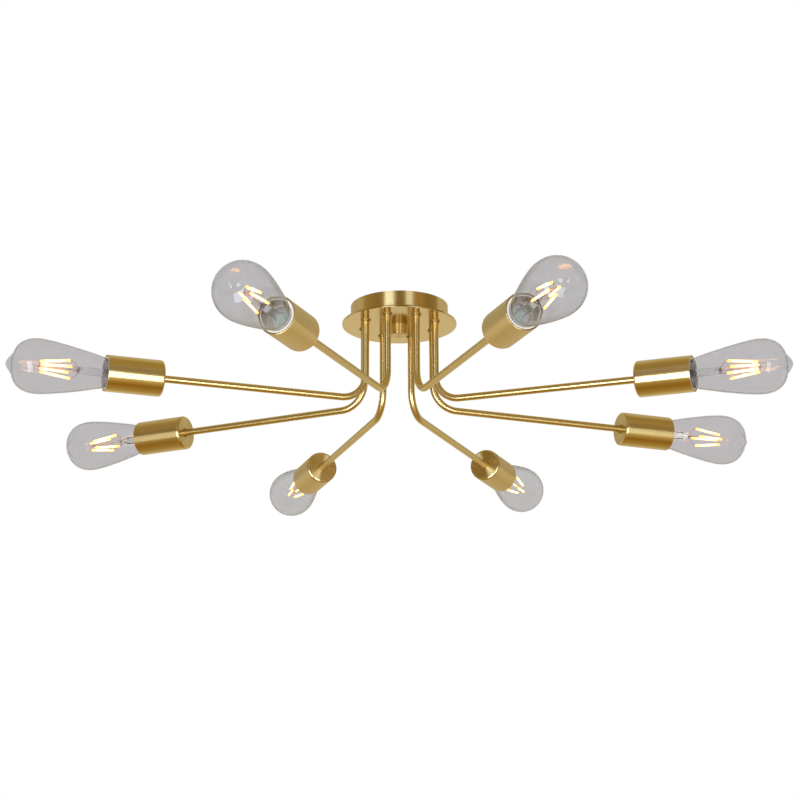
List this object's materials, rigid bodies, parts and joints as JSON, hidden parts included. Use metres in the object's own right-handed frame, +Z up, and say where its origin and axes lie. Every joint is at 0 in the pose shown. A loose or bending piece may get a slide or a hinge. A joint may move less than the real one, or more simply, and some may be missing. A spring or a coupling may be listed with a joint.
{
  "type": "multi arm chandelier",
  "caption": "Low ceiling chandelier with bent swivelling arms under a round canopy, each arm ending in a deep cup with a screw lampholder and a clear pear-shaped filament bulb.",
  "frame": {"origin": "ceiling plane at the centre of the crossbar's box slots, on the canopy's axis", "axes": "+Z up into the ceiling box, -Y the front, +X along the crossbar"},
  "size_m": [0.9264, 0.9258, 0.1698],
  "materials": {
    "brushed_brass": "brushed satin",
    "zinc_steel": "zinc plated",
    "white_porcelain": "glazed",
    "cap_metal": "bright",
    "clear_glass": "clear",
    "filament": "glowing",
    "green_screw": "satin",
    "green_insulation": "satin",
    "black_insulation": "satin",
    "connector_plastic": "moulded"
  },
  "bodies": {
    "canopy": {"canopy_drum": "brushed_brass", "canopy_plate": "brushed_brass", "ceiling_crossbar": "zinc_steel", "centre_nipple": "zinc_steel", "nipple_locknut": "zinc_steel", "canopy_finial": "brushed_brass", "arm_bushes": "brushed_brass", "bush_nuts": "zinc_steel", "ground_screw": "green_screw", "ground_lead": "green_insulation", "canopy_wiring": "black_insulation", "wire_connectors": "connector_plastic"},
    "arm_1": {"arm_tube_1": "brushed_brass", "socket_cup_1": "brushed_brass", "lampholder_1": "white_porcelain"},
    "bulb_1": {"bulb_cap_1": "cap_metal", "bulb_glass_1": "clear_glass", "bulb_filaments_1": "filament"},
    "arm_2": {"arm_tube_2": "brushed_brass", "socket_cup_2": "brushed_brass", "lampholder_2": "white_porcelain"},
    "bulb_2": {"bulb_cap_2": "cap_metal", "bulb_glass_2": "clear_glass", "bulb_filaments_2": "filament"},
    "arm_3": {"arm_tube_3": "brushed_brass", "socket_cup_3": "brushed_brass", "lampholder_3": "white_porcelain"},
    "bulb_3": {"bulb_cap_3": "cap_metal", "bulb_glass_3": "clear_glass", "bulb_filaments_3": "filament"},
    "arm_4": {"arm_tube_4": "brushed_brass", "socket_cup_4": "brushed_brass", "lampholder_4": "white_porcelain"},
    "bulb_4": {"bulb_cap_4": "cap_metal", "bulb_glass_4": "clear_glass", "bulb_filaments_4": "filament"},
    "arm_5": {"arm_tube_5": "brushed_brass", "socket_cup_5": "brushed_brass", "lampholder_5": "white_porcelain"},
    "bulb_5": {"bulb_cap_5": "cap_metal", "bulb_glass_5": "clear_glass", "bulb_filaments_5": "filament"},
    "arm_6": {"arm_tube_6": "brushed_brass", "socket_cup_6": "brushed_brass", "lampholder_6": "white_porcelain"},
    "bulb_6": {"bulb_cap_6": "cap_metal", "bulb_glass_6": "clear_glass", "bulb_filaments_6": "filament"},
    "arm_7": {"arm_tube_7": "brushed_brass", "socket_cup_7": "brushed_brass", "lampholder_7": "white_porcelain"},
    "bulb_7": {"bulb_cap_7": "cap_metal", "bulb_glass_7": "clear_glass", "bulb_filaments_7": "filament"},
    "arm_8": {"arm_tube_8": "brushed_brass", "socket_cup_8": "brushed_brass", "lampholder_8": "white_porcelain"},
    "bulb_8": {"bulb_cap_8": "cap_metal", "bulb_glass_8": "clear_glass", "bulb_filaments_8": "filament"}
  },
  "joints": [
    {"name": "arm_1_swivel", "type": "hinge", "parent": "canopy", "child": "arm_1", "pos_m": [0.01779, -0.04296, -0.0245], "axis": [0, 0, 1], "range_deg": [-15, 15]},
    {"name": "arm_2_swivel", "type": "hinge", "parent": "canopy", "child": "arm_2", "pos_m": [0.04296, -0.01779, -0.0245], "axis": [0, 0, 1], "range_deg": [-15, 15]},
    {"name": "arm_3_swivel", "type": "hinge", "parent": "canopy", "child": "arm_3", "pos_m": [0.04296, 0.01779, -0.0245], "axis": [0, 0, 1], "range_deg": [-15, 15]},
    {"name": "arm_4_swivel", "type": "hinge", "parent": "canopy", "child": "arm_4", "pos_m": [0.01779, 0.04296, -0.0245], "axis": [0, 0, 1], "range_deg": [-15, 15]},
    {"name": "arm_5_swivel", "type": "hinge", "parent": "canopy", "child": "arm_5", "pos_m": [-0.01779, 0.04296, -0.0245], "axis": [0, 0, 1], "range_deg": [-15, 15]},
    {"name": "arm_6_swivel", "type": "hinge", "parent": "canopy", "child": "arm_6", "pos_m": [-0.04296, 0.01779, -0.0245], "axis": [0, 0, 1], "range_deg": [-15, 15]},
    {"name": "arm_7_swivel", "type": "hinge", "parent": "canopy", "child": "arm_7", "pos_m": [-0.04296, -0.01779, -0.0245], "axis": [0, 0, 1], "range_deg": [-15, 15]},
    {"name": "arm_8_swivel", "type": "hinge", "parent": "canopy", "child": "arm_8", "pos_m": [-0.01779, -0.04296, -0.0245], "axis": [0, 0, 1], "range_deg": [-15, 15]},
    {"name": "bulb_1_unscrew", "type": "slide", "parent": "arm_1", "child": "bulb_1", "axis": [0.2773, -0.9608, -0.0017], "range_m": [0, 0.025]},
    {"name": "bulb_2_unscrew", "type": "slide", "parent": "arm_2", "child": "bulb_2", "axis": [0.8932, -0.4493, -0.0175], "range_m": [0, 0.025]},
    {"name": "bulb_3_unscrew", "type": "slide", "parent": "arm_3", "child": "bulb_3", "axis": [0.968, 0.2503, -0.0175], "range_m": [0, 0.025]},
    {"name": "bulb_4_unscrew", "type": "slide", "parent": "arm_4", "child": "bulb_4", "axis": [0.4632, 0.886, -0.0209], "range_m": [0, 0.025]},
    {"name": "bulb_5_unscrew", "type": "slide", "parent": "arm_5", "child": "bulb_5", "axis": [-0.2722, 0.9618, -0.0279], "range_m": [0, 0.025]},
    {"name": "bulb_6_unscrew", "type": "slide", "parent": "arm_6", "child": "bulb_6", "axis": [-0.8813, 0.4725, -0.0087], "range_m": [0, 0.025]},
    {"name": "bulb_7_unscrew", "type": "slide", "parent": "arm_7", "child": "bulb_7", "axis": [-0.9558, -0.294, -0.0052], "range_m": [0, 0.025]},
    {"name": "bulb_8_unscrew", "type": "slide", "parent": "arm_8", "child": "bulb_8", "axis": [-0.421, -0.907, -0.0122], "range_m": [0, 0.025]}
  ]
}
